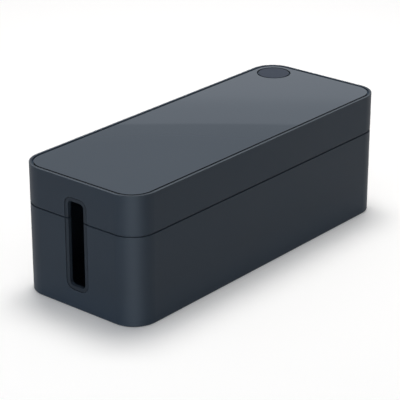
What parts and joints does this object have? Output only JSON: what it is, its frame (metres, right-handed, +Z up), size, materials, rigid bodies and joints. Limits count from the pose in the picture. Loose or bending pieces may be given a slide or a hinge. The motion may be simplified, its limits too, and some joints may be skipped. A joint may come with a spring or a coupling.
{
  "type": "cable management box",
  "caption": "Long rounded box that hides a socket strip and its cables, with a lift-off lid, an inlaid top mat, a capped cable outlet, tall cable ports in both ends and soft feet.",
  "frame": {"origin": "centre of the outline, on the surface that the feet stand on", "axes": "+X along the length, with the outlet at the +X end; +Y across the width towards the outlet's side; +Z up through the lid"},
  "size_m": [0.406, 0.156, 0.139],
  "materials": {
    "shell": "fine satin moulding",
    "mat": "smooth, semi-gloss, soft touch",
    "cap": "matt",
    "trim": "fine satin moulding",
    "foot": "matt, non-slip",
    "film": "adhesive film",
    "tie": "hook-and-loop pile"
  },
  "bodies": {
    "tub": {"base_tub": "shell", "port_trim_lower_left": "trim", "port_trim_lower_right": "trim", "foot_front_left": "foot", "foot_front_right": "foot", "foot_rear_left": "foot", "foot_rear_right": "foot", "foot_film_front_left": "film", "foot_film_front_right": "film", "foot_film_rear_left": "film", "foot_film_rear_right": "film", "cable_tie_left": "tie", "cable_tie_right": "tie"},
    "lid": {"lid_shell": "shell", "top_mat": "mat", "mat_adhesive": "film", "outlet_bush": "trim", "port_trim_upper_left": "trim", "port_trim_upper_right": "trim"},
    "cap": {"outlet_cap": "cap"}
  },
  "joints": [
    {"name": "lid_lift", "type": "slide", "parent": "tub", "child": "lid", "axis": [0, 0, 1], "range_m": [0, 0.12]},
    {"name": "cap_pull", "type": "slide", "parent": "lid", "child": "cap", "axis": [0, 0, 1], "range_m": [0, 0.03]}
  ]
}
